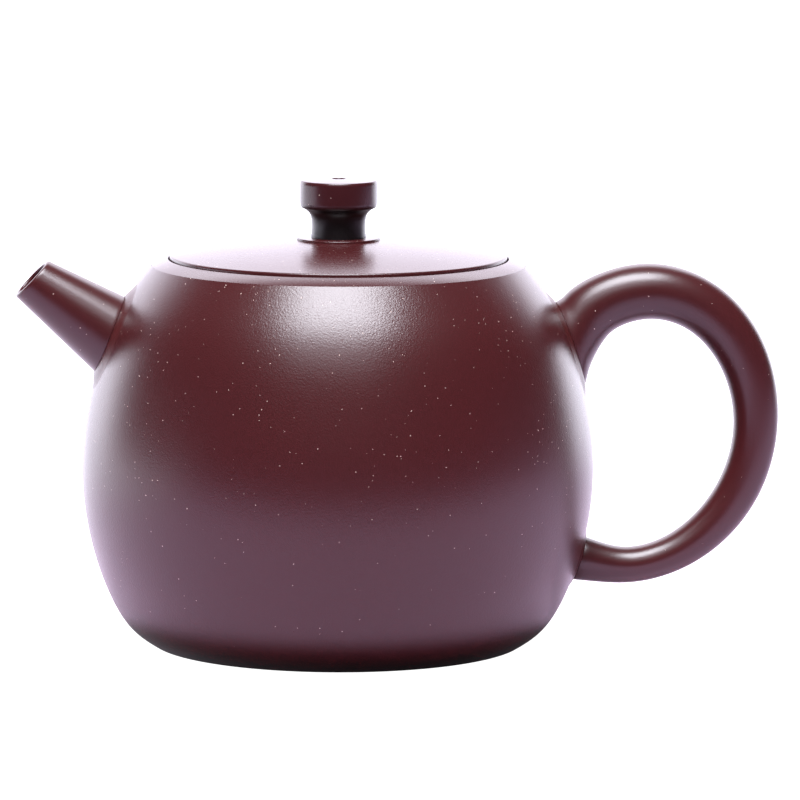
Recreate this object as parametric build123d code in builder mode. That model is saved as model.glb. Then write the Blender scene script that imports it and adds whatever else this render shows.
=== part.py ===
from build123d import *
import os
from math import cos, radians, sin, sqrt, tan

# Round clay teapot with an inlaid lid, a short straight spout and a ring handle.
# Millimetres. Origin: on the pot's axis, at the plane it rests on.
# +Z up, spout towards -X, handle towards +X.

# ---- Body ----
WALL = 3.2  # thickness of the clay wall
BELLY_R = 47.5  # widest radius
BELLY_Z = 33.5
FOOT_R = 34.3  # outer radius of the ring it rests on
SHOULDER_R = 34.6  # the crease where the wall meets the mouth ring
SHOULDER_Z = 70.5
BODY_OUTLINE = [
    (FOOT_R, 0),
    (37.9, 2.5),
    (42.3, 9),
    (46.0, 20),
    (BELLY_R, BELLY_Z),
    (45.5, 48),
    (41.2, 61),
    (SHOULDER_R, SHOULDER_Z),
]
# fractions of the outline, from the foot up, where the inside follows it
LINING_STATIONS = [0.08, 0.2, 0.35, 0.5, 0.65, 0.8, 0.92]
BASE_R = 31.5  # the floor disc let into the foot
BASE_RECESS = 0.7  # how far its underside is pressed in
FLOOR_Z = BASE_RECESS + WALL

# ---- Mouth ring ----
SEAT_R = 31.5  # the rebate that takes the lid's edge
RIM_Z = 71.9  # top of the ring at the rebate
SEAT_Z = 69.4  # the ledge the lid rests on
MOUTH_R = 27.4
RING_UNDER_Z = 66.3
RING_OUTER_R = 34.0  # where its underside meets the wall
RIM_ROUND = 0.3

# ---- Lid ----
LID_GAP = 0.25  # round the lid's edge and its flange
LID_REST = 0.05  # between the lid's underside and the ledge
LID_R = SEAT_R - LID_GAP
LID_WALL = 3.0
LID_EDGE_Z = RIM_Z + 0.5  # the lid's edge stands just proud of the ring
LID_CROWN_Z = 75.4
FLANGE_R = MOUTH_R - LID_GAP
FLANGE_WALL = 2.4
FLANGE_DEPTH = 7.0
PLATE_R = 7.75  # thin round plate under the knob
PLATE_TOP_Z = 75.9
KNOB_FOOT_R = 5.35
KNOB_WAIST = [(KNOB_FOOT_R, PLATE_TOP_Z), (5.05, 76.9), (5.1, 79.4), (5.55, 80.5), (6.4, 81.1)]
KNOB_R = 7.2
KNOB_SHOULDER = [(6.95, 81.6), (KNOB_R, 82.4)]
KNOB_TOP_Z = 86.3
KNOB_CROWN = 0.3
VENT_R = 1.25  # the air hole down through the knob

LID_ROUND = 0.3
FLANGE_ROUND = 0.6
PLATE_ROUND = 0.2
KNOB_ROUND = 0.4
VENT_CHAMFER = 0.4

# ---- Spout: a plain cone ----
SPOUT_RISE = 34.9  # degrees above the horizontal
SPOUT_TAPER = 9.2  # degrees, half angle
SPOUT_MOUTH = Vector(-56.85, 0, 68.25)
SPOUT_MOUTH_R = 4.41
SPOUT_LIP = 0.95  # wall at the mouth
SPOUT_BORE_TAPER = 4.8
MOUTH_TILT = 43.2  # degrees, the way the cut mouth faces
SPOUT_SEAM = Vector(-43.1, 0, 57.9)
SPOUT_SEAM_TILT = 21.9  # degrees, the way the seam faces
SPOUT_REACH = 30  # how far behind the mouth its cones run before they are cut
SPOUT_SPARE = 3  # and how far in front of it
LIP_ROUND = 0.35

# ---- Strainer inside the spout's root ----
STRAINER_R = 7.6
STRAINER_WALL = 1.5
STRAINER_HOLE_R = 0.95
STRAINER_DEPTH = 20.5  # its centre, this far behind the mouth on the spout's axis
# how far each ring of holes leans from the spout's axis, in degrees, and its number of holes
STRAINER_ROWS = [(0, 1), (27, 6), (52, 12)]

# ---- Handle: sections along a curved line ----
HANDLE_LINE = [
    (43.75, 56.6),
    (46.6, 61.2),
    (50.7, 63.8),
    (58.7, 65.3),
    (66.8, 62.9),
    (72.8, 57.6),
    (78.1, 42.2),
    (74.0, 26.4),
    (61.7, 15.6),
    (53.6, 13.9),
    (45.5, 15.15),
]
HANDLE_TOP_SEAM_TILT = 20.5
HANDLE_LOW_SEAM_TILT = -16.9
# fraction of the line, depth in the handle's own plane, width across it
HANDLE_SECTIONS = [
    (0.062, 11.2, 10.5),
    (0.15, 10.5, 10.1),
    (0.26, 10.0, 9.8),
    (0.38, 9.4, 9.3),
    (0.52, 8.4, 8.6),
    (0.66, 7.95, 8.1),
    (0.78, 7.2, 7.5),
    (0.87, 6.7, 7.1),
    (0.94, 7.0, 7.2),
]
HANDLE_TOP_SEAM = (15.3, 12.4)
HANDLE_LOW_SEAM = (8.26, 7.9)

# ---- Collars: the clay worked on to the body round each seam ----
COLLAR_FLARE = 40  # degrees, how fast it spreads
COLLAR_REACH = 3.0  # how far into the body that flare runs
COLLAR_FILLET = 2.4  # the hollow where it runs out on the body

TOUCH = 0.01  # closer than this counts as the same place


def facing(rise, side=1):
    """The direction in the pot's long plane at this many degrees above the horizontal."""
    return Vector(side * cos(radians(rise)), 0, sin(radians(rise)))


def across(origin, rise, side=1):
    """A plane square to the long plane, facing this way, with its local Y in the long plane."""
    return Plane(origin=origin, x_dir=(0, side, 0), z_dir=facing(rise, side))


def body_skin(mode=Mode.ADD):
    return Spline(*BODY_OUTLINE, mode=mode)


def inset_points(line, depth, stations):
    """Points a set depth inside a line that runs upwards, at fractions of its length."""
    return [line @ t + (line % t).rotate(Axis.Z, 90) * depth for t in stations]


def save(builder, label):
    builder.part.label = label
    export_step(builder.part, f"parts/{label}.step")


os.makedirs("parts", exist_ok=True)

# ---- Shapes that several pieces are cut from ----

# The full round shape of the body
with BuildPart() as barrel:
    with BuildSketch(Plane.YZ):
        with BuildLine():
            skin = body_skin()
            Polyline(skin @ 1, (0, SHOULDER_Z), (0, 0), skin @ 0)
        make_face()
    revolve(axis=Axis.Z)

# The hollow inside it
with BuildPart() as cavity:
    with BuildSketch(Plane.YZ):
        with BuildLine():
            skin = body_skin(Mode.PRIVATE)
            lining = Spline(*inset_points(skin, WALL, LINING_STATIONS))
            Polyline(
                lining @ 1,
                (RING_OUTER_R, RING_UNDER_Z),
                (0, RING_UNDER_Z),
                (0, FLOOR_Z),
                (BASE_R, FLOOR_Z),
                lining @ 0,
            )
        make_face()
    revolve(axis=Axis.Z)

spout_axis_plane = across(SPOUT_MOUTH, SPOUT_RISE, -1)
spout_mouth_plane = across(SPOUT_MOUTH, MOUTH_TILT, -1)
spout_seam_plane = across(SPOUT_SEAM, SPOUT_SEAM_TILT, -1)


def spout_cone(mouth_r, taper):
    """A cone on the spout's axis with this radius at the mouth, longer than the spout at both ends."""
    with BuildPart() as cone:
        with BuildSketch(spout_axis_plane.offset(-SPOUT_REACH)):
            Circle(mouth_r + SPOUT_REACH * tan(radians(taper)))
        extrude(amount=SPOUT_REACH + SPOUT_SPARE, taper=taper)
    return cone.part


spout_outside = spout_cone(SPOUT_MOUTH_R, SPOUT_TAPER)
spout_bore = spout_cone(SPOUT_MOUTH_R - SPOUT_LIP, SPOUT_BORE_TAPER)

# ---- Body ----

with BuildPart() as body_wall:
    add(barrel.part)
    add(cavity.part, mode=Mode.SUBTRACT)
    with BuildSketch():
        Circle(BASE_R)
    extrude(amount=FLOOR_Z, mode=Mode.SUBTRACT)
    with BuildSketch(Plane.XZ):
        with BuildLine():
            Polyline(
                (0, RING_UNDER_Z),
                (RING_OUTER_R, RING_UNDER_Z),
                (SHOULDER_R, SHOULDER_Z),
                (0, SHOULDER_Z),
                close=True,
            )
        make_face()
    revolve(axis=Axis.Z, mode=Mode.SUBTRACT)
    add(spout_bore, mode=Mode.SUBTRACT)
save(body_wall, "body_wall")

with BuildPart() as base_disc:
    with BuildSketch(Plane.XY.offset(BASE_RECESS)):
        Circle(BASE_R)
    extrude(amount=WALL)
save(base_disc, "base_disc")

with BuildPart() as mouth_ring:
    with BuildSketch(Plane.XZ):
        with BuildLine():
            Polyline(
                (SHOULDER_R, SHOULDER_Z),
                (SEAT_R, RIM_Z),
                (SEAT_R, SEAT_Z),
                (MOUTH_R, SEAT_Z),
                (MOUTH_R, RING_UNDER_Z),
                (RING_OUTER_R, RING_UNDER_Z),
                close=True,
            )
        make_face()
    revolve(axis=Axis.Z)
    rim_edge = edges().filter_by(GeomType.CIRCLE).group_by(Axis.Z)[-1]
    fillet(rim_edge, radius=RIM_ROUND)
save(mouth_ring, "mouth_ring")

# ---- Spout ----

with BuildPart() as spout:
    add(spout_outside)
    split(bisect_by=spout_mouth_plane, keep=Keep.BOTTOM)
    split(bisect_by=spout_seam_plane, keep=Keep.TOP)
    add(spout_bore, mode=Mode.SUBTRACT)
    lip_edges = edges().filter_by(lambda e: abs(spout_mouth_plane.to_local_coords(e.center()).Z) < TOUCH)
    fillet(lip_edges, radius=LIP_ROUND)
save(spout, "spout")


def seam_collar(seam_plane, across_r, along_r, bore=None):
    """Clay worked out from a piece's oval end on to the body, leaving a crisp line at the seam."""
    spread = COLLAR_REACH * tan(radians(COLLAR_FLARE))
    with BuildPart() as collar:
        with BuildSketch(seam_plane):
            Ellipse(across_r, along_r)
        with BuildSketch(seam_plane.offset(-COLLAR_REACH)):
            Ellipse(across_r + spread, along_r + spread)
        loft()
        add(barrel.part)
        fillet(edges(Select.NEW), radius=COLLAR_FILLET)
        add(barrel.part, mode=Mode.SUBTRACT)
        if bore:
            add(bore, mode=Mode.SUBTRACT)
    return collar


# The spout's end is an oval, because the seam cuts its cone at a slant
spout_end = Face(spout.faces().filter_by(GeomType.PLANE).sort_by_distance(SPOUT_SEAM)[0].outer_wire())
spout_end_size = spout_end.bounding_box().size
spout_collar = seam_collar(
    across(spout_end.center(), SPOUT_SEAM_TILT, -1),
    spout_end_size.Y / 2,
    spout_end_size.Z / 2 / cos(radians(SPOUT_SEAM_TILT)),
    spout_bore,
)
save(spout_collar, "spout_collar")

# A clay dome with holes, set over the spout's root from inside
strainer_centre = SPOUT_MOUTH - spout_axis_plane.z_dir * STRAINER_DEPTH
with BuildPart() as spout_strainer:
    with Locations(strainer_centre):
        Sphere(STRAINER_R)
        Sphere(STRAINER_R - STRAINER_WALL, mode=Mode.SUBTRACT)
    add(cavity.part, mode=Mode.INTERSECT)
    for lean, count in STRAINER_ROWS:
        for turn in range(count):
            way = -spout_axis_plane.z_dir
            way = way.rotate(Axis((0, 0, 0), (0, 1, 0)), lean)
            way = way.rotate(Axis((0, 0, 0), spout_axis_plane.z_dir), 360 * turn / count)
            with BuildSketch(Plane(origin=strainer_centre, z_dir=way)):
                Circle(STRAINER_HOLE_R)
            extrude(amount=2 * STRAINER_R, mode=Mode.SUBTRACT)
save(spout_strainer, "spout_strainer")

# ---- Handle ----

handle_top_plane = across((HANDLE_LINE[0][0], 0, HANDLE_LINE[0][1]), HANDLE_TOP_SEAM_TILT)
handle_low_plane = across((HANDLE_LINE[-1][0], 0, HANDLE_LINE[-1][1]), HANDLE_LOW_SEAM_TILT)

with BuildPart() as handle:
    with BuildLine(mode=Mode.PRIVATE) as centreline:
        Spline(*[(x, 0, z) for x, z in HANDLE_LINE])
    run = centreline.edge()
    with BuildSketch(handle_top_plane):
        Ellipse(HANDLE_TOP_SEAM[1] / 2, HANDLE_TOP_SEAM[0] / 2)
    for place, depth, width in HANDLE_SECTIONS:
        with BuildSketch(Plane(origin=run @ place, x_dir=(0, 1, 0), z_dir=run % place)):
            Ellipse(width / 2, depth / 2)
    low_end = Plane(origin=handle_low_plane.origin, x_dir=(0, 1, 0), z_dir=-handle_low_plane.z_dir)
    with BuildSketch(low_end):
        Ellipse(HANDLE_LOW_SEAM[1] / 2, HANDLE_LOW_SEAM[0] / 2)
    loft()
save(handle, "handle")

handle_upper_collar = seam_collar(handle_top_plane, HANDLE_TOP_SEAM[1] / 2, HANDLE_TOP_SEAM[0] / 2)
save(handle_upper_collar, "handle_upper_collar")

handle_lower_collar = seam_collar(handle_low_plane, HANDLE_LOW_SEAM[1] / 2, HANDLE_LOW_SEAM[0] / 2)
save(handle_lower_collar, "handle_lower_collar")

# ---- Lid ----


def crown_z(r):
    """Height of the lid's low dome at a radius."""
    rise = LID_CROWN_Z - LID_EDGE_Z
    ball_r = (LID_R**2 + rise**2) / (2 * rise)
    return LID_CROWN_Z - ball_r + sqrt(ball_r**2 - r**2)


lid_under_z = SEAT_Z + LID_REST
lid_hollow_r = FLANGE_R - FLANGE_WALL
plate_base_z = crown_z(PLATE_R)

with BuildPart() as lid_disc:
    with BuildSketch(Plane.YZ):
        with BuildLine():
            crown = ThreePointArc(
                (LID_R, crown_z(LID_R)),
                (LID_R / 2, crown_z(LID_R / 2)),
                (PLATE_R, plate_base_z),
            )
            Polyline(crown @ 1, (VENT_R, plate_base_z), (VENT_R, plate_base_z - LID_WALL))
            ceiling = ThreePointArc(
                (VENT_R, plate_base_z - LID_WALL),
                (lid_hollow_r / 2, crown_z(lid_hollow_r / 2) - LID_WALL),
                (lid_hollow_r, lid_under_z),
            )
            Polyline(ceiling @ 1, (LID_R, lid_under_z), crown @ 0)
        make_face()
    revolve(axis=Axis.Z)
    outer_edges = edges().filter_by(GeomType.CIRCLE).filter_by(lambda e: abs(e.radius - LID_R) < TOUCH)
    fillet(outer_edges.sort_by(Axis.Z)[-1], radius=LID_ROUND)
save(lid_disc, "lid_disc")

with BuildPart() as lid_flange:
    with BuildSketch(Plane.XY.offset(lid_under_z)):
        Circle(FLANGE_R)
        Circle(lid_hollow_r, mode=Mode.SUBTRACT)
    extrude(amount=-FLANGE_DEPTH)
    fillet(edges().group_by(Axis.Z)[0], radius=FLANGE_ROUND)
save(lid_flange, "lid_flange")

with BuildPart() as knob_plate:
    with BuildSketch(Plane.XY.offset(plate_base_z)):
        Circle(PLATE_R)
        Circle(VENT_R, mode=Mode.SUBTRACT)
    extrude(amount=PLATE_TOP_Z - plate_base_z)
    top_edges = edges().filter_by(GeomType.CIRCLE).group_by(Axis.Z)[-1]
    fillet(top_edges.sort_by(SortBy.RADIUS)[-1], radius=PLATE_ROUND)
save(knob_plate, "knob_plate")

with BuildPart() as lid_knob:
    with BuildSketch(Plane.YZ):
        with BuildLine():
            Line((VENT_R, PLATE_TOP_Z), (KNOB_FOOT_R, PLATE_TOP_Z))
            waist = Spline(*KNOB_WAIST)
            shoulder = Spline(waist @ 1, *KNOB_SHOULDER)
            side = Line(shoulder @ 1, (KNOB_R, KNOB_TOP_Z))
            Spline(side @ 1, (KNOB_R / 2, KNOB_TOP_Z + 0.75 * KNOB_CROWN), (VENT_R, KNOB_TOP_Z + KNOB_CROWN))
            Line((VENT_R, KNOB_TOP_Z + KNOB_CROWN), (VENT_R, PLATE_TOP_Z))
        make_face()
    revolve(axis=Axis.Z)
    fillet(edges().filter_by(GeomType.CIRCLE).group_by(Axis.Z)[-2], radius=KNOB_ROUND)
    chamfer(edges().filter_by(GeomType.CIRCLE).group_by(Axis.Z)[-1], length=VENT_CHAMFER)
save(lid_knob, "lid_knob")
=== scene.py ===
import math

import bpy
import numpy as np
from mathutils import Matrix, Vector


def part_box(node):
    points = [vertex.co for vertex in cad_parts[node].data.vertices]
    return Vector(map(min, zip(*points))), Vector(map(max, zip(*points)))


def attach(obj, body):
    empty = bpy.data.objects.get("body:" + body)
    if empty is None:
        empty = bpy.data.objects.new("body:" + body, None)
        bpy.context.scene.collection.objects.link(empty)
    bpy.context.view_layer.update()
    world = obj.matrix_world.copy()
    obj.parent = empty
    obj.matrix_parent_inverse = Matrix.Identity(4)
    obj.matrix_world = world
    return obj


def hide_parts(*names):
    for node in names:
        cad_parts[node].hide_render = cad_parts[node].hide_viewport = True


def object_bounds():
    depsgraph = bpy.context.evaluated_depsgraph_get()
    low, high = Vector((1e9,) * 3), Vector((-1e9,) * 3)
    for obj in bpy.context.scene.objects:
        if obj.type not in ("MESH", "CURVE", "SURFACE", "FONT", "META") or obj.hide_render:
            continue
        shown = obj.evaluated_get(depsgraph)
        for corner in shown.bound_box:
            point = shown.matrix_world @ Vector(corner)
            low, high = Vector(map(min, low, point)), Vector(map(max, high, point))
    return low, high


# A round clay teapot with a straight spout, a ring handle and an inlaid lid.
# Shapes are worked out in millimetres and made in metres.

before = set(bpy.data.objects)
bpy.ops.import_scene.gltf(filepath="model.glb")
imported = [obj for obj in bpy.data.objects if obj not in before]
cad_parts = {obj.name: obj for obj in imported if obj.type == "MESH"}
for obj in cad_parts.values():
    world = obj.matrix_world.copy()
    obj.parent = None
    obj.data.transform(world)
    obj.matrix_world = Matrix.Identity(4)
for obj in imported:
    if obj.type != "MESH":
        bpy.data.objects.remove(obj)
cad_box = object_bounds()

MM = 0.001
TURNS = 240  # facets round a turned piece
MERGE = 1e-6


# ================================================================ modelling by hand

def only(obj):
    bpy.ops.object.select_all(action="DESELECT")
    obj.select_set(True)
    bpy.context.view_layer.objects.active = obj


def open_edit(obj, mode="VERT"):
    only(obj)
    bpy.ops.object.mode_set(mode="EDIT")
    bpy.ops.mesh.select_mode(type=mode)


def close_edit():
    bpy.ops.object.mode_set(mode="OBJECT")


def pick(obj, kind, wanted):
    """Selects the vertices, edges or faces that pass a test, and nothing else, and stays in edit mode."""
    bpy.ops.mesh.select_all(action="DESELECT")
    close_edit()
    for element in getattr(obj.data, kind):
        element.select = wanted(element)
    bpy.ops.object.mode_set(mode="EDIT")


def ends_of(obj, edge):
    return [obj.data.vertices[i].co for i in edge.vertices]


def new_mesh(name):
    """An empty mesh, open for editing."""
    bpy.ops.object.select_all(action="DESELECT")
    bpy.ops.mesh.primitive_circle_add(vertices=3)
    piece = bpy.context.object
    piece.name = piece.data.name = name
    bpy.ops.object.mode_set(mode="EDIT")
    bpy.ops.mesh.select_mode(type="VERT")
    bpy.ops.mesh.select_all(action="SELECT")
    bpy.ops.mesh.delete(type="VERT")
    close_edit()  # so that new points don't take the places of the deleted ones in the mesh's order
    bpy.ops.object.mode_set(mode="EDIT")
    return piece


def close_seams():
    """Merges doubles and turns every face outwards, in edit mode."""
    bpy.ops.mesh.select_all(action="SELECT")
    bpy.ops.mesh.remove_doubles(threshold=MERGE)
    bpy.ops.mesh.normals_make_consistent(inside=False)


def smooth(piece, degrees=40):
    only(piece)
    bpy.ops.object.shade_smooth_by_angle(angle=math.radians(degrees))
    return piece


def finish_with(piece, kind, **settings):
    """Adds a modifier and applies it."""
    only(piece)
    modifier = piece.modifiers.new(kind.lower(), kind)
    for name, value in settings.items():
        setattr(modifier, name, value)
    bpy.ops.object.modifier_apply(modifier=modifier.name)


def even_slopes(at, values):
    """Slopes of a line through values set at places along it, with no jump in how hard it bends."""
    gaps = np.diff(at)[:, None]
    steps = np.diff(values, axis=0) / gaps
    rule = np.zeros((len(at), len(at)))
    pull = np.zeros(values.shape)
    rule[0, :2] = 2, 1
    rule[-1, -2:] = 1, 2
    pull[0], pull[-1] = 3 * steps[0], 3 * steps[-1]
    for i in range(1, len(at) - 1):
        before, after = gaps[i - 1, 0], gaps[i, 0]
        rule[i, i - 1 : i + 2] = after, 2 * (before + after), before
        pull[i] = 3 * (after * steps[i - 1] + before * steps[i])
    return np.linalg.solve(rule, pull)


def chords(points):
    """How far along a line each of its points lies, measured straight from point to point."""
    return np.concatenate([[0], np.cumsum(np.linalg.norm(np.diff(points, axis=0), axis=1))])


def through(at, values):
    """A function that gives the line through these values at any place along it."""
    slopes = even_slopes(at, values)

    def value(place):
        i = min(max(int(np.searchsorted(at, place, side="right")) - 1, 0), len(at) - 2)
        gap = at[i + 1] - at[i]
        t = (place - at[i]) / gap
        rise = t * t * (3 - 2 * t)
        bend = slopes[i] * t * (1 - t) ** 2 - slopes[i + 1] * t * t * (1 - t)
        return values[i] * (1 - rise) + values[i + 1] * rise + bend * gap

    return value


def drawn_line(runs, detail=10):
    """A curve object of smooth runs of points, in metres, that meet end to end."""
    bpy.ops.object.select_all(action="DESELECT")
    bpy.ops.curve.primitive_bezier_curve_add()
    line = bpy.context.object
    line.data.splines.clear()
    line.data.dimensions = "3D"
    for run in runs:
        spline = line.data.splines.new("BEZIER")
        spline.bezier_points.add(len(run) - 1)
        spline.resolution_u = detail if len(run) > 2 else 1
        at = chords(run)
        slopes = even_slopes(at, run)
        reach = np.diff(at, prepend=0, append=at[-1])[:, None] / 3
        for point, place, slope, before, after in zip(spline.bezier_points, run, slopes, reach, reach[1:]):
            point.handle_left_type = point.handle_right_type = "FREE"
            point.co = place
            point.handle_left = place - slope * before
            point.handle_right = place + slope * after
    return line


def turned(name, outline, detail=10, turns=TURNS):
    """A piece thrown round the pot's axis.

    The outline goes round its section in smooth runs of (radius, height) in mm. Each run comes with how far
    from its last point the corner there is rounded.
    """
    runs = [np.array([(r * MM, 0, z * MM) for r, z in run]) for run, _ in outline]
    drawn_line(runs, detail)
    bpy.ops.object.convert(target="MESH")
    piece = bpy.context.object
    piece.name = piece.data.name = name
    open_edit(piece)
    bpy.ops.mesh.select_all(action="SELECT")
    bpy.ops.mesh.remove_doubles(threshold=MERGE)
    for run, (_, rounding) in zip(runs, outline):
        if rounding:
            corner = Vector(run[-1])
            pick(piece, "vertices", lambda v: (v.co - corner).length < MERGE)
            bpy.ops.mesh.bevel(offset=rounding * MM, segments=5, affect="VERTICES")
    bpy.ops.mesh.select_all(action="SELECT")
    bpy.ops.mesh.spin(steps=turns, angle=2 * math.pi, center=(0, 0, 0), axis=(0, 0, 1))
    close_seams()
    close_edit()
    return smooth(piece)


def facing(rise, side=1):
    """The direction in the pot's long plane at this many degrees above the horizontal."""
    return Vector((side * math.cos(math.radians(rise)), 0, math.sin(math.radians(rise))))


def lean(direction):
    """The turn about Y that points a primitive's own Z this way."""
    return (0, math.atan2(direction.x, direction.z), 0)


def oval(centre, direction, along, across, sides=72):
    """Adds an oval of edges in edit mode, square to a direction in the pot's long plane, in mm."""
    bpy.ops.mesh.select_all(action="DESELECT")
    bpy.ops.mesh.primitive_circle_add(
        vertices=sides, radius=along * MM, location=centre * MM, rotation=lean(direction)
    )
    bpy.ops.transform.resize(value=(1, across / along, 1), center_override=centre * MM)


# ================================================================ sizes, in mm and degrees, from the frame

def span(node):
    """Lowest and highest corner of a node."""
    low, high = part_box(node)
    return low / MM, high / MM


wall_low, wall_high = span("body_wall")
ring_low, ring_high = span("mouth_ring")
base_low, base_high = span("base_disc")
lid_low, lid_high = span("lid_disc")
flange_low, flange_high = span("lid_flange")
plate_low, plate_high = span("knob_plate")
knob_low, knob_high = span("lid_knob")

WALL = 3.2
WALL_SPARE = 0.01  # keeps the round wall inside the frame's, which has facets
BELLY_R = min(wall_high.x, wall_high.y, -wall_low.y) - WALL_SPARE
SHOULDER_R = ring_high.x
SHOULDER_Z = wall_high.z
FOOT_R = 34.3
FOOT_ROUND = 0.35
RECESS_ROUND = 0.3
INSIDE_ROUND = 0.5
INSIDE_FOOT = 0.4  # how much further in the lining runs where it meets the base
# the wall's outline from the foot to the crease, as (radius, height)
WALL_OUTLINE = [
    (FOOT_R, 0),
    (37.9, 2.5),
    (42.3, 9),
    (46.0, 20),
    (BELLY_R, 33.5),
    (45.5, 48),
    (41.2, 61),
    (SHOULDER_R, SHOULDER_Z),
]
BASE_GAP = 0.02
BASE_ROUND = 0.2

LID_GAP = 0.25  # round the lid's edge, and round its flange
SEAT_GAP = 0.05
RING_RISE = 1.4
SEAT_R = lid_high.x + LID_GAP
SEAT_Z = lid_low.z - SEAT_GAP
RIM_Z = SHOULDER_Z + RING_RISE
RIM_ROUND = 0.3
CREASE_ROUND = 0.12
RING_UNDER = (34.0, ring_low.z)
MOUTH_R = flange_high.x + LID_GAP

LID_R = lid_high.x
LID_STANDS = 0.5  # how far the lid's edge stands above the rim
LID_EDGE_Z = RIM_Z + LID_STANDS
LID_CROWN_Z = 75.4
LID_WALL = 3.0
LID_ROUND = 0.3
LID_FOOT_ROUND = 0.2
CROWN_STEPS = 8
CEILING_STEPS = 4
FLANGE_WALL = 2.4
FLANGE_ROUND = 0.6
HOLLOW_R = flange_high.x - FLANGE_WALL
VENT_R = 1.25
VENT_ROUND = 0.2

PLATE_SHARE = 0.65  # of the frame's plate, which is thicker
PLATE_Z = plate_low.z + (plate_high.z - plate_low.z) * PLATE_SHARE
PLATE_SPARE = 0.1
PLATE_SUNK = 0.1
PLATE_ROUND = 0.2
WAIST_R = 5.05
# the knob's side from its foot up, as (radius, height above the foot)
KNOB_WAIST = [(WAIST_R, 0), (5.0, 1), (5.05, 3.4), (5.45, 4.6), (6.4, 5.4)]
KNOB_SHOULDER = [(6.95, 5.7), (knob_high.x, 6.5)]
KNOB_WAIST_ROUND = 0.25
KNOB_SHOULDER_ROUND = 0.1
KNOB_EDGE_ROUND = 0.75
KNOB_TOP_ROUND = 0.3
KNOB_EDGE_DROP = 0.3  # how far the edge of the knob's top lies below its middle
KNOB_TOP_DROP = 0.08  # and how far the top has dropped halfway out
WAIST_SHADE_RISE = 6.2  # how far up from its foot in the frame the knob's waist is painted dark, as painted shade under its cap

SPOUT_RISE = 34.9
SPOUT_TAPER = 9.2
SPOUT_BORE_TAPER = 4.8
SPOUT_MOUTH = Vector((-56.85, 0, 68.25))
SPOUT_MOUTH_R = 4.41
SPOUT_LIP = 0.95
MOUTH_TILT = 43.2
SPOUT_SEAM = Vector((-43.1, 0, 57.9))
SPOUT_SEAM_TILT = 21.9

HANDLE_LINE = [
    (43.75, 56.6),
    (46.6, 61.2),
    (50.7, 63.8),
    (58.7, 65.3),
    (66.8, 62.9),
    (72.8, 57.6),
    (78.1, 42.2),
    (74.0, 26.4),
    (61.7, 15.6),
    (53.6, 13.9),
    (45.5, 15.15),
]
HANDLE_TOP_TILT = 20.5
HANDLE_LOW_TILT = -16.9
# share of the handle's line, depth in its own plane, width across it
HANDLE_SECTIONS = [
    (0, 15.3, 12.4),
    (0.03, 12.3, 11.3),
    (0.065, 11.0, 10.5),
    (0.15, 10.5, 10.1),
    (0.26, 10.0, 9.8),
    (0.38, 9.4, 9.3),
    (0.52, 8.4, 8.6),
    (0.66, 7.95, 8.1),
    (0.78, 7.2, 7.5),
    (0.87, 6.7, 7.1),
    (0.94, 7.0, 7.2),
    (1, 8.26, 7.9),
]

SPOUT_SIDES = 96
SPOUT_CUTS = 24  # along the spout and its bore
CONE_BACK = 30  # how far the spout's cones run behind its mouth before they are cut
CONE_FRONT = 3
LIP_ROUND = 0.35
ROOT_FROM = 8  # behind this the outside is wider than the bore is anywhere
HANDLE_SIDES = 72
HANDLE_RINGS = 120
SEAM_TURN = 0.1  # the share of the handle's line over which its sections turn to face a seam

SEAM_STANDS = 0.55  # how far a seam stands off the wall
SEAM_ROUND = 0.1
SEAM_TUCK = 0.3  # how far a collar's edge is tucked in under the seam
SEAM_DROP = 0.03  # and how far below it
COLLAR_REACH = 3.2  # how far it spreads over the wall
COLLAR_RINGS = 12
COLLAR_DEPTH = 0.9  # how far it is sunk in the wall
COLLAR_LIFT = 0.01
SPOUT_COLLAR_INNER = 0.78  # how far in under the end it starts, as a share of the end's size
HANDLE_COLLAR_INNER = 0.6


# ================================================================ body

def crown_z(r):
    """Height of the lid's low dome at a radius."""
    rise = LID_CROWN_Z - LID_EDGE_Z
    ball_r = (LID_R**2 + rise**2) / (2 * rise)
    return LID_CROWN_Z - ball_r + math.sqrt(ball_r**2 - r**2)


def lining():
    """The inside of the wall, from the top down, one wall's thickness within its outline."""
    inner = []
    for below, here, above in zip(WALL_OUTLINE, WALL_OUTLINE[1:], WALL_OUTLINE[2:]):
        rise = Vector((above[0] - below[0], above[1] - below[1])).normalized()
        inner.append((here[0] - rise.y * WALL, here[1] + rise.x * WALL))
    return [RING_UNDER, *reversed(inner[1:]), (inner[0][0] - INSIDE_FOOT, base_high.z)]


def bore_cone(closed):
    """Adds the spout's bore in edit mode, through the wall and out past the mouth."""
    axis = facing(SPOUT_RISE, -1)
    slope = math.tan(math.radians(SPOUT_BORE_TAPER))
    bpy.ops.mesh.select_all(action="DESELECT")
    bpy.ops.mesh.primitive_cone_add(
        vertices=SPOUT_SIDES,
        radius1=(SPOUT_MOUTH_R - SPOUT_LIP + CONE_BACK * slope) * MM,
        radius2=(SPOUT_MOUTH_R - SPOUT_LIP - CONE_FRONT * slope) * MM,
        depth=(CONE_BACK + CONE_FRONT) * MM,
        end_fill_type="NGON" if closed else "NOTHING",
        location=(SPOUT_MOUTH + axis * (CONE_FRONT - CONE_BACK) / 2) * MM,
        rotation=lean(axis),
    )


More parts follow.
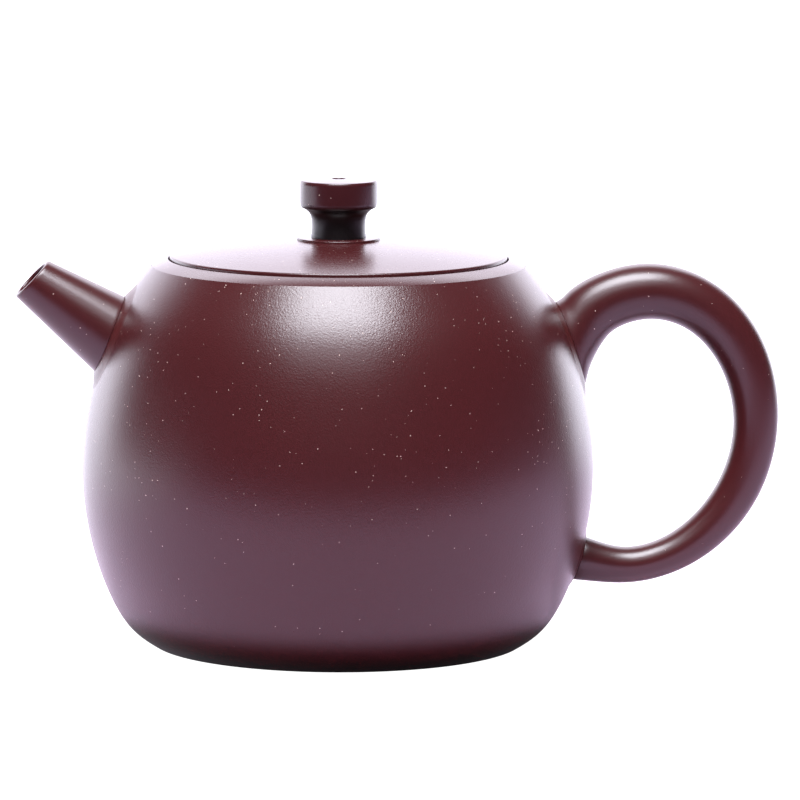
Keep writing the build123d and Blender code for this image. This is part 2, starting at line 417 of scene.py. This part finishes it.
def make_body_wall():
    inside = lining()
    wall = turned(
        "Body_wall",
        [
            (WALL_OUTLINE, 0),
            ([(SHOULDER_R, SHOULDER_Z), RING_UNDER], 0),
            (inside, INSIDE_ROUND),
            ([inside[-1], (base_high.x, base_high.z)], 0),
            ([(base_high.x, base_high.z), (base_high.x, 0)], RECESS_ROUND),
            ([(base_high.x, 0), (FOOT_R, 0)], FOOT_ROUND),
        ],
        detail=12,
    )
    cutter = new_mesh("Bore_cutter")
    bore_cone(closed=True)
    close_edit()
    finish_with(wall, "BOOLEAN", operation="DIFFERENCE", object=cutter, solver="EXACT")
    bpy.data.objects.remove(cutter)
    return smooth(wall)


def make_base_disc():
    low, high, r = base_low.z, base_high.z, base_high.x - BASE_GAP
    return turned(
        "Base_disc",
        [
            ([(0, low), (r, low)], BASE_ROUND),
            ([(r, low), (r, high)], BASE_ROUND),
            ([(r, high), (0, high)], 0),
        ],
    )


def make_mouth_ring():
    return turned(
        "Mouth_ring",
        [
            ([(SHOULDER_R, SHOULDER_Z), (SEAT_R, RIM_Z)], RIM_ROUND),
            ([(SEAT_R, RIM_Z), (SEAT_R, SEAT_Z)], 0),
            ([(SEAT_R, SEAT_Z), (MOUTH_R, SEAT_Z)], RIM_ROUND),
            ([(MOUTH_R, SEAT_Z), (MOUTH_R, ring_low.z)], RIM_ROUND),
            ([(MOUTH_R, ring_low.z), RING_UNDER], 0),
            ([RING_UNDER, (SHOULDER_R, SHOULDER_Z)], CREASE_ROUND),
        ],
    )


# ================================================================ lid

def make_lid_disc():
    crown = [LID_R + (VENT_R - LID_R) * i / CROWN_STEPS for i in range(CROWN_STEPS + 1)]
    ceiling = [VENT_R + (HOLLOW_R - VENT_R) * i / CEILING_STEPS for i in range(CEILING_STEPS + 1)]
    return turned(
        "Lid_disc",
        [
            ([(r, crown_z(r)) for r in crown], 0),
            ([(VENT_R, crown_z(VENT_R)), (VENT_R, crown_z(VENT_R) - LID_WALL)], VENT_ROUND),
            ([(r, crown_z(r) - LID_WALL) for r in ceiling], 0),
            ([(HOLLOW_R, crown_z(HOLLOW_R) - LID_WALL), (HOLLOW_R, lid_low.z)], 0),
            ([(HOLLOW_R, lid_low.z), (LID_R, lid_low.z)], LID_FOOT_ROUND),
            ([(LID_R, lid_low.z), (LID_R, LID_EDGE_Z)], LID_ROUND),
        ],
    )


def make_lid_flange():
    r, low, high = flange_high.x, flange_low.z, flange_high.z
    return turned(
        "Lid_flange",
        [
            ([(r, high), (HOLLOW_R, high)], 0),
            ([(HOLLOW_R, high), (HOLLOW_R, low)], FLANGE_ROUND),
            ([(HOLLOW_R, low), (r, low)], FLANGE_ROUND),
            ([(r, low), (r, high)], 0),
        ],
    )


def make_knob_plate():
    r, low, high = plate_high.x - PLATE_SPARE, plate_low.z - PLATE_SUNK, PLATE_Z
    return turned(
        "Knob_plate",
        [
            ([(VENT_R, high), (r, high)], PLATE_ROUND),
            ([(r, high), (r, low)], 0),
            ([(r, low), (VENT_R, low)], 0),
            ([(VENT_R, low), (VENT_R, high)], 0),
        ],
    )


def make_lid_knob():
    foot_z, top_z = PLATE_Z, knob_high.z
    waist = [(r, foot_z + rise) for r, rise in KNOB_WAIST]
    shoulder = [waist[-1], *((r, foot_z + rise) for r, rise in KNOB_SHOULDER)]
    side_top = (knob_high.x, top_z - KNOB_EDGE_DROP)
    top = [side_top, (knob_high.x / 2, top_z - KNOB_TOP_DROP), (VENT_R, top_z)]
    return turned(
        "Lid_knob",
        [
            ([(VENT_R, foot_z), (WAIST_R, foot_z)], 0),
            (waist, KNOB_WAIST_ROUND),
            (shoulder, KNOB_SHOULDER_ROUND),
            ([shoulder[-1], side_top], KNOB_EDGE_ROUND),
            (top, KNOB_TOP_ROUND),
            ([(VENT_R, top_z), (VENT_R, foot_z)], 0),
        ],
    )


# ================================================================ seams

def make_mould():
    """A finer copy of the wall's outside, only to shape the seams against."""
    return turned("Mould", [(WALL_OUTLINE, 0)], detail=16, turns=360)


def run_to_wall(piece, mould, ends):
    """Runs each end point straight on from the point behind it, to where the seam stands off the wall."""
    for end, behind in ends:
        start = piece.data.vertices[behind].co
        way = (piece.data.vertices[end].co - start).normalized()
        _, place, normal, _ = mould.ray_cast(start, way)
        piece.data.vertices[end].co = place + way * (SEAM_STANDS * MM / way.dot(normal))


def face_out(sheet):
    """Turns every face of an open sheet away from the pot's axis."""
    open_edit(sheet, "FACE")
    bpy.ops.mesh.select_all(action="SELECT")
    bpy.ops.mesh.normals_make_consistent(inside=False)
    close_edit()
    faces = sheet.data.polygons
    outward = sum(f.area * f.normal.dot(f.center - Vector((0, 0, f.center.z))) for f in faces)
    if outward < 0:
        open_edit(sheet, "FACE")
        bpy.ops.mesh.select_all(action="SELECT")
        bpy.ops.mesh.flip_normals()
        close_edit()


def make_collar(name, piece, mould, ring, inner):
    """The pad of clay worked from a piece's end on to the wall.

    ring is the end's outer ring of points, and inner the share of its size at which the pad starts under it.
    """
    ring = set(ring)
    centre = sum((piece.data.vertices[i].co for i in ring), Vector()) / len(ring)
    radius = sum((piece.data.vertices[i].co - centre).length for i in ring) / len(ring)
    open_edit(piece)
    pick(piece, "vertices", lambda v: v.index in ring)
    bpy.ops.mesh.duplicate()
    bpy.ops.mesh.separate(type="SELECTED")
    close_edit()
    collar = next(o for o in bpy.context.selected_objects if o != piece)
    collar.name = collar.data.name = name
    # ring by ring: its size beside the end's own, and its height as a share of the seam's
    steps = [(inner, 1), (1 - SEAM_TUCK * MM / radius, 1)]
    for i in range(COLLAR_RINGS + 1):
        t = i / COLLAR_RINGS
        steps.append((1 + COLLAR_REACH * MM * t / radius, 1 - t * t * (3 - 2 * t)))
    open_edit(collar)
    bpy.ops.mesh.select_all(action="SELECT")
    size = 1
    for i, (wanted, _) in enumerate(steps):
        if i:
            bpy.ops.mesh.extrude_region()
        bpy.ops.transform.resize(value=[wanted / size] * 3, center_override=centre)
        size = wanted
    close_edit()
    heights = collar.vertex_groups.new(name="height")
    for i, (_, height) in enumerate(steps):
        heights.add(range(i * len(ring), (i + 1) * len(ring)), height, "REPLACE")
    finish_with(collar, "SHRINKWRAP", target=mould, wrap_mode="ABOVE_SURFACE", offset=COLLAR_LIFT * MM)
    face_out(collar)
    finish_with(
        collar, "DISPLACE", strength=(SEAM_STANDS - SEAM_DROP) * MM, mid_level=0, vertex_group="height"
    )
    finish_with(collar, "SOLIDIFY", thickness=COLLAR_DEPTH * MM, offset=-1)
    collar.vertex_groups.clear()
    return smooth(collar, 60)


# ================================================================ spout

def on_plane(origin, way):
    """A test for points that lie in a plane."""
    return lambda point: abs((point - origin * MM).dot(way)) < 0.01 * MM


def length_of(obj, edge):
    a, b = ends_of(obj, edge)
    return (a - b).length


def make_spout(mould):
    axis = facing(SPOUT_RISE, -1)
    mouth_way = facing(MOUTH_TILT, -1)
    seam_way = facing(SPOUT_SEAM_TILT, -1)
    slope = math.tan(math.radians(SPOUT_TAPER))
    spout = new_mesh("Spout")
    bpy.ops.mesh.primitive_cone_add(
        vertices=SPOUT_SIDES,
        radius1=(SPOUT_MOUTH_R + CONE_BACK * slope) * MM,
        radius2=(SPOUT_MOUTH_R - CONE_FRONT * slope) * MM,
        depth=(CONE_BACK + CONE_FRONT) * MM,
        end_fill_type="NOTHING",
        location=(SPOUT_MOUTH + axis * (CONE_FRONT - CONE_BACK) / 2) * MM,
        rotation=lean(axis),
    )
    bore_cone(closed=False)
    bpy.ops.mesh.flip_normals()
    bpy.ops.mesh.select_all(action="SELECT")
    bpy.ops.mesh.bisect(plane_co=SPOUT_MOUTH * MM, plane_no=mouth_way, clear_outer=True)
    bpy.ops.mesh.select_all(action="SELECT")
    bpy.ops.mesh.bisect(plane_co=SPOUT_SEAM * MM, plane_no=seam_way, clear_inner=True)
    close_edit()
    at_mouth, at_seam = on_plane(SPOUT_MOUTH, mouth_way), on_plane(SPOUT_SEAM, seam_way)
    ends = []
    for edge in spout.data.edges:
        a, b = edge.vertices
        if at_mouth(spout.data.vertices[a].co) and at_seam(spout.data.vertices[b].co):
            ends.append((b, a))
        if at_mouth(spout.data.vertices[b].co) and at_seam(spout.data.vertices[a].co):
            ends.append((a, b))
    run_to_wall(spout, mould, ends)
    seam_points = {end for end, _ in ends}
    mouth_points = {behind for _, behind in ends}
    open_edit(spout, "EDGE")
    for rim in (mouth_points, seam_points):
        pick(spout, "edges", lambda e: rim.issuperset(e.vertices))
        bpy.ops.mesh.bridge_edge_loops()
    close_seams()
    close_edit()

    def off_axis(i):
        arm = spout.data.vertices[i].co - SPOUT_MOUTH * MM
        return (arm - axis * arm.dot(axis)).length

    outer = {i for i in seam_points if off_axis(i) > (SPOUT_MOUTH_R + slope * ROOT_FROM) * MM}
    collar = make_collar("Spout_collar", spout, mould, outer, SPOUT_COLLAR_INNER)
    open_edit(spout, "EDGE")
    pick(spout, "edges", lambda e: length_of(spout, e) > SPOUT_MOUTH_R * MM)
    bpy.ops.mesh.subdivide(number_cuts=SPOUT_CUTS)
    pick(spout, "edges", lambda e: outer.issuperset(e.vertices))
    bpy.ops.mesh.bevel(offset=SEAM_ROUND * MM, segments=3, affect="EDGES")
    round_mouth = SPOUT_LIP / 2 * MM  # the edges that cross the lip are longer
    pick(
        spout, "edges",
        lambda e: all(map(at_mouth, ends_of(spout, e))) and length_of(spout, e) < round_mouth,
    )
    bpy.ops.mesh.bevel(offset=LIP_ROUND * MM, segments=4, affect="EDGES")
    close_seams()
    close_edit()
    return smooth(spout), collar


# ================================================================ handle

def handle_stations(count):
    """Centre, direction, depth and width along the handle, from its top seam to its low one, in mm."""
    points = np.array([(x, 0, z) for x, z in HANDLE_LINE])
    at = chords(points)
    line = through(at / at[-1], points)
    sections = np.array(HANDLE_SECTIONS)
    sizes = through(sections[:, 0], sections[:, 1:])
    stations = []
    step = 0.002  # share of the line over which its direction is taken
    for share in np.linspace(0, 1, count):
        way = Vector(line(min(share + step, 1)) - line(max(share - step, 0))).normalized()
        for end, seam_way in ((0, facing(HANDLE_TOP_TILT)), (1, -facing(HANDLE_LOW_TILT))):
            near = max(0, 1 - abs(share - end) / SEAM_TURN)
            way = way.lerp(seam_way, near * near * (3 - 2 * near)).normalized()
        stations.append((Vector(line(share)), way, *sizes(share)))
    return stations


def make_handle(mould):
    handle = new_mesh("Handle")
    for centre, way, depth, width in handle_stations(HANDLE_RINGS):
        oval(centre, way, depth / 2, width / 2, HANDLE_SIDES)
    bpy.ops.mesh.select_all(action="SELECT")
    bpy.ops.mesh.bridge_edge_loops()
    close_edit()
    # each end's ring of points, and how far on in the mesh the next ring's are
    total = HANDLE_RINGS * HANDLE_SIDES
    seams = [(range(HANDLE_SIDES), HANDLE_SIDES), (range(total - HANDLE_SIDES, total), -HANDLE_SIDES)]
    for ring, to_next in seams:
        run_to_wall(handle, mould, [(i, i + to_next) for i in ring])
    names = ("Handle_upper_collar", "Handle_lower_collar")
    collars = [
        make_collar(name, handle, mould, ring, HANDLE_COLLAR_INNER) for name, (ring, _) in zip(names, seams)
    ]
    open_edit(handle, "EDGE")
    for ring, _ in seams:
        pick(handle, "edges", lambda e: all(i in ring for i in e.vertices))
        bpy.ops.mesh.edge_face_add()
    pick(handle, "edges", lambda e: any(all(i in ring for i in e.vertices) for ring, _ in seams))
    bpy.ops.mesh.bevel(offset=SEAM_ROUND * MM, segments=3, affect="EDGES")
    close_seams()
    close_edit()
    return smooth(handle), *collars


# ================================================================ clay

wine = (0.052, 0.0086, 0.0088)
wine_dark = (0.042, 0.0068, 0.0076)
plum = (0.040, 0.0070, 0.0090)
ember = (0.060, 0.0092, 0.0082)
biscuit = (0.13, 0.042, 0.038)
biscuit_dark = (0.10, 0.033, 0.032)
# painted shade: the near-black tone painted on the knob's waist, where it lies in shade under its cap
WAIST_SHADE_TONE = (0.006, 0.0035, 0.004)
WAIST_SHADE_FADE = 0.0012  # metres over which the painted shade on the knob's waist fades in, and the roughness it adds
WAIST_SHADE_ROUGH = 0.08
CLAY_IOR = 1.52

# how fine each pattern is, in waves per metre, and its detail
CLOUDS = (45.0, 3.0)
MOTTLE = (900.0, 2.0)
COARSE_GRAIN = (2700.0, 2.0)
FINE_GRAIN = (4200.0, 2.0)
NOISE_ROUGHNESS = 0.55

GRIT_SCALE = 1000.0  # cells per metre, one grain in each
GRIT_COLOUR = (0.80, 0.60, 0.50)
GRIT_SMALLEST = 0.028  # sizes of a grain, as a share of its cell
GRIT_SPREAD = 0.06
GRIT_LOW_SHARE = 0.2  # how much of it shows below the lower of these heights, in metres
GRIT_FADE = (0.015, 0.06)


class Wire:
    """One output in a node tree. Arithmetic on it adds Math nodes."""

    def __init__(self, tree, socket):
        self.tree = tree
        self.socket = socket

    def sum(self, operation, first, second):
        return add_node(self.tree, "ShaderNodeMath", {"operation": operation}, {0: first, 1: second})

    def __add__(self, other):
        return self.sum("ADD", self, other)

    def __sub__(self, other):
        return self.sum("SUBTRACT", self, other)

    def __rsub__(self, other):
        return self.sum("SUBTRACT", other, self)

    def __mul__(self, other):
        return self.sum("MULTIPLY", self, other)

    def __gt__(self, other):
        return self.sum("GREATER_THAN", self, other)

    def __lt__(self, other):
        return self.sum("LESS_THAN", self, other)

    __radd__ = __add__
    __rmul__ = __mul__


def add_node(tree, kind, settings, sockets, output=0):
    """Adds a node with its settings first and then the values or links of its sockets."""
    node = tree.nodes.new(kind)
    for name, value in settings.items():
        setattr(node, name, value)
    for name, value in sockets.items():
        if isinstance(value, Wire):
            tree.links.new(value.socket, node.inputs[name])
        else:
            node.inputs[name].default_value = value
    return Wire(tree, node.outputs[output]) if node.outputs else node


def clay(name, tone, fired, rough, grain, specks, shade_below=None):
    """Unglazed clay: two tones in soft clouds, a fine grain, and grit that shows as pale specks.

    tone and fired are its two colours, rough is its roughness, grain the depth of its grain in metres, and
    specks the share of the grit that shows, less of it low down. Below the height shade_below the colour is
    painted dark, as painted shade on the knob's waist under its cap.
    """
    material = bpy.data.materials.new(name)
    material.use_nodes = True
    tree = material.node_tree
    tree.nodes.clear()
    place = add_node(tree, "ShaderNodeTexCoord", {}, {}, "Object")
    height = add_node(tree, "ShaderNodeSeparateXYZ", {}, {0: place}, 2)

    def noise(scale, detail):
        sockets = {"Vector": place, "Scale": scale, "Detail": detail, "Roughness": NOISE_ROUGHNESS}
        return add_node(tree, "ShaderNodeTexNoise", {}, sockets)

    def cells(output):
        sockets = {"Vector": place, "Scale": GRIT_SCALE}
        return add_node(tree, "ShaderNodeTexVoronoi", {"feature": "F1"}, sockets, output)

    def blend(factor, first, second):
        return add_node(tree, "ShaderNodeMix", {"data_type": "RGBA"}, {0: factor, 6: first, 7: second}, 2)

    clouds = noise(*CLOUDS)
    mottle = noise(*MOTTLE)
    fine = noise(*FINE_GRAIN)
    coarse = noise(*COARSE_GRAIN)
    lot = add_node(tree, "ShaderNodeSeparateColor", {}, {0: cells("Color")}, 0)
    size = add_node(tree, "ShaderNodeSeparateColor", {}, {0: cells("Color")}, 1)
    low, high = GRIT_FADE
    shown = add_node(
        tree, "ShaderNodeMapRange", {},
        {"Value": height, "From Min": low, "From Max": high, "To Min": GRIT_LOW_SHARE, "To Max": 1.0},
    )
    speck = (cells("Distance") < size * GRIT_SPREAD + GRIT_SMALLEST) * (lot < shown * specks)
    shade = blend(clouds * 0.75 + mottle * 0.25, (*tone, 1), (*fired, 1))
    # painted shade: below shade_below the colour darkens to the waist's painted shade tone, and it gets rougher
    if shade_below:
        shaded = add_node(
            tree, "ShaderNodeMapRange", {"interpolation_type": "SMOOTHSTEP"},
            {"Value": height, "From Min": shade_below, "From Max": shade_below - WAIST_SHADE_FADE},
        )
        shade = blend(shaded, shade, (*WAIST_SHADE_TONE, 1))
        rough = shaded * WAIST_SHADE_ROUGH + rough
    relief = fine * 0.4 + coarse * 0.6 + speck * 0.3
    bump = add_node(tree, "ShaderNodeBump", {}, {"Height": relief, "Distance": grain, "Strength": 1.0})
    shader = add_node(
        tree,
        "ShaderNodeBsdfPrincipled",
        {},
        {
            "Base Color": blend(speck, shade, (*GRIT_COLOUR, 1)),
            "Roughness": clouds * 0.05 + mottle * 0.03 + (rough - 0.04) + speck * 0.1,
            "IOR": CLAY_IOR,
            "Normal": bump,
        },
    )
    add_node(tree, "ShaderNodeOutputMaterial", {}, {"Surface": shader})
    return material


# ================================================================ studio

COOL = (0.93, 0.95, 1.03)
SKY = (0.93, 0.91, 1.05)
FRONT_GLOW = 0.06
BACK_GLOW = 3.2
BACK_FROM = 0.42  # the sky brightens between these shares of the way round to the back
BACK_TO = 0.82

FLOOR_SIZE = 12.0  # metres, as the rest of the studio
FLOOR_TONE = (0.70, 0.53, 0.70)
# painted shade: the dark tone the pot mirrors in the floor in front of it and, as a painted contact shadow,
# under it
MIRRORED_SHADE_TONE = (0.02, 0.02, 0.025)
SHADE_FAR = -0.36  # painted shade: the mirrored floor darkens from SHADE_NEAR to SHADE_FAR, towards the camera
SHADE_NEAR = -0.04
CONTACT_SHADOW_FADE = (0.039, 0.047)  # and, as a painted contact shadow, inwards between these distances from the pot's middle
GLOW_FADE = (-0.06, 0.32)  # and it brightens between these distances behind the pot
GLOW_SLANT = 0.35  # more so on the spout's side
FLOOR_GLOW = 3.2
FLOOR_LIFT = 1.9
FLOOR_LIFT_SHARE = 0.6

# name, azimuth, elevation, distance, width, height, brightness
SOFTBOXES = [
    ("Key", -7, 70, 0.9, 0.6, 0.45, 24),
    ("Key_skirt", -9, 46, 0.9, 0.62, 0.4, 2.8),
    ("Back_top", 180, 44, 1.0, 1.0, 0.35, 2.0),
    ("Rim_left", -138, 8, 1.0, 0.35, 0.4, 1.4),
    ("Rim_right", 139, 8, 1.0, 0.3, 0.4, 1.4),
]

CAMERA_YAW = 4.35
CAMERA_PITCH = 7.76
CAMERA_ROLL = 0.24
CAMERA_AWAY = 1.212
CAMERA_LENS = 293.5
CAMERA_SENSOR = 36
AIM_SHIFT = Vector((0.0002, 0, 0.0019))  # from the middle of the pot's box


def smooth_fade(tree, value, start, end, low=0.0, high=1.0):
    """Goes softly from low at the start to high at the end."""
    return add_node(
        tree, "ShaderNodeMapRange", {"interpolation_type": "SMOOTHSTEP"},
        {"Value": value, "From Min": start, "From Max": end, "To Min": low, "To Max": high},
    )


def make_floor():
    """White to the camera. What the pot mirrors of it is painted black below, as a contact shadow, and in
    front, as painted shade, and bright behind.
    """
    bpy.ops.object.select_all(action="DESELECT")
    bpy.ops.mesh.primitive_plane_add(size=FLOOR_SIZE, location=(0, 0, cad_box[0].z))
    floor = bpy.context.object
    floor.name = "Studio_floor"
    material = bpy.data.materials.new("Floor_white")
    material.use_nodes = True
    tree = material.node_tree
    tree.nodes.clear()
    place = add_node(tree, "ShaderNodeTexCoord", {}, {}, "Object")
    x = add_node(tree, "ShaderNodeSeparateXYZ", {}, {0: place}, 0)
    y = add_node(tree, "ShaderNodeSeparateXYZ", {}, {0: place}, 1)
    out = add_node(tree, "ShaderNodeVectorMath", {"operation": "LENGTH"}, {0: place}, 1)
    # painted shade and a painted contact shadow on the floor the pot mirrors; the camera sees it mostly lifted
    # to white
    unshaded = smooth_fade(tree, y, SHADE_FAR, SHADE_NEAR) * smooth_fade(tree, out, *CONTACT_SHADOW_FADE)
    tone = add_node(
        tree, "ShaderNodeMix", {"data_type": "RGBA"}, {0: unshaded, 6: (*MIRRORED_SHADE_TONE, 1), 7: (*FLOOR_TONE, 1)}, 2
    )
    dull = add_node(tree, "ShaderNodeBsdfDiffuse", {}, {"Color": tone})
    bright = add_node(tree, "ShaderNodeEmission", {}, {"Color": (*SKY, 1), "Strength": FLOOR_GLOW})
    behind = smooth_fade(tree, y - x * GLOW_SLANT, *GLOW_FADE)
    mirrored = add_node(tree, "ShaderNodeMixShader", {}, {0: behind, 1: dull, 2: bright})
    glow = add_node(tree, "ShaderNodeEmission", {}, {"Color": (1, 1, 1, 1), "Strength": FLOOR_LIFT})
    seen = add_node(tree, "ShaderNodeLightPath", {}, {}, "Is Camera Ray")
    lifted = add_node(tree, "ShaderNodeMixShader", {}, {0: seen * FLOOR_LIFT_SHARE, 1: mirrored, 2: glow})
    add_node(tree, "ShaderNodeOutputMaterial", {}, {"Surface": lifted})
    floor.data.materials.append(material)


def make_world():
    """White round the object for the camera. What lights it is dim in front and bright behind."""
    world = bpy.data.worlds.new("Studio")
    bpy.context.scene.world = world
    world.use_nodes = True
    tree = world.node_tree
    tree.nodes.clear()
    way = add_node(tree, "ShaderNodeTexCoord", {}, {}, "Generated")
    y = add_node(tree, "ShaderNodeSeparateXYZ", {}, {0: way}, 1)
    behind = smooth_fade(tree, y, BACK_FROM, BACK_TO, FRONT_GLOW, BACK_GLOW)
    seen = add_node(tree, "ShaderNodeLightPath", {}, {}, "Is Camera Ray")
    strength = behind * (1 - seen) + seen
    sky = add_node(tree, "ShaderNodeBackground", {}, {"Color": (*SKY, 1), "Strength": strength})
    add_node(tree, "ShaderNodeOutputWorld", {}, {"Surface": sky})


def softbox(name, azimuth, elevation, distance, width, height, glow):
    """A softbox that faces the pot. Azimuth 0 is the front and 90 the handle's side. glow is its brightness."""
    a, e = math.radians(azimuth), math.radians(elevation)
    away = Vector((math.sin(a) * math.cos(e), -math.cos(a) * math.cos(e), math.sin(e)))
    centre = (cad_box[0] + cad_box[1]) / 2
    bpy.ops.object.light_add(
        type="AREA", location=centre + away * distance, rotation=away.to_track_quat("Z", "Y").to_euler()
    )
    light = bpy.context.object
    light.name = name
    light.data.shape = "RECTANGLE"
    light.data.size = width
    light.data.size_y = height
    light.data.energy = glow * width * height * math.pi
    light.data.color = COOL
    light.visible_camera = False


def make_camera():
    """A long lens, a little above the pot and turned a little towards its spout."""
    yaw = Matrix.Rotation(math.radians(-CAMERA_YAW), 4, "Z")
    pitch = Matrix.Rotation(math.pi / 2 - math.radians(CAMERA_PITCH), 4, "X")
    roll = Matrix.Rotation(math.radians(CAMERA_ROLL), 4, "Z")
    turn = yaw @ pitch @ roll
    aim = (cad_box[0] + cad_box[1]) / 2 + AIM_SHIFT
    bpy.ops.object.camera_add(location=aim + turn @ Vector((0, 0, CAMERA_AWAY)), rotation=turn.to_euler())
    camera = bpy.context.object
    camera.data.lens = CAMERA_LENS
    camera.data.sensor_width = CAMERA_SENSOR
    bpy.context.scene.camera = camera


# ================================================================ assembly

def place(piece, body, nodes, slot, material):
    piece.data.materials.clear()
    piece.data.materials.append(material)
    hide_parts(*nodes)
    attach(piece, body)


body_clay = clay("Body_clay", wine, wine_dark, rough=0.29, grain=55e-6, specks=0.9)
collar_clay = clay("Collar_clay", ember, wine, rough=0.36, grain=50e-6, specks=1.0)
spout_clay = clay("Spout_clay", wine, wine_dark, rough=0.29, grain=20e-6, specks=0.35)
lid_clay = clay("Lid_clay", wine, wine_dark, rough=0.27, grain=12e-6, specks=0.6)
# the knob's waist is painted dark below this height, as painted shade
waist_shade_z = (knob_low.z + WAIST_SHADE_RISE) * MM
knob_clay = clay("Knob_clay", plum, wine_dark, rough=0.26, grain=6e-6, specks=0.15, shade_below=waist_shade_z)
ring_clay = clay("Shoulder_clay", wine, wine_dark, rough=0.27, grain=12e-6, specks=0.5)
inside_clay = clay("Inside_clay", biscuit, biscuit_dark, rough=0.62, grain=60e-6, specks=0.6)
base_clay = clay("Base_clay", wine, plum, rough=0.5, grain=40e-6, specks=0.5)

wall = make_body_wall()
mould = make_mould()
spout, spout_collar = make_spout(mould)
handle, upper_collar, lower_collar = make_handle(mould)
bpy.data.objects.remove(mould)

place(wall, "pot", ["body_wall"], "body_clay", body_clay)
place(make_base_disc(), "pot", ["base_disc"], "base_clay", base_clay)
place(make_mouth_ring(), "pot", ["mouth_ring"], "shoulder_clay", ring_clay)
place(spout, "pot", ["spout"], "spout_clay", spout_clay)
place(spout_collar, "pot", ["spout_collar"], "body_clay", collar_clay)
place(handle, "pot", ["handle"], "handle_clay", spout_clay)
place(upper_collar, "pot", ["handle_upper_collar"], "body_clay", collar_clay)
place(lower_collar, "pot", ["handle_lower_collar"], "body_clay", collar_clay)
place(make_lid_disc(), "lid", ["lid_disc"], "lid_clay", lid_clay)
place(make_lid_flange(), "lid", ["lid_flange"], "inside_clay", inside_clay)
place(make_knob_plate(), "lid", ["knob_plate"], "lid_clay", lid_clay)
place(make_lid_knob(), "lid", ["lid_knob"], "knob_clay", knob_clay)
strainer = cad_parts["spout_strainer"]
strainer.data.materials.clear()
strainer.data.materials.append(inside_clay)

make_world()
make_floor()
for settings in SOFTBOXES:
    softbox(*settings)
make_camera()
bpy.context.scene.view_settings.view_transform = "Standard"
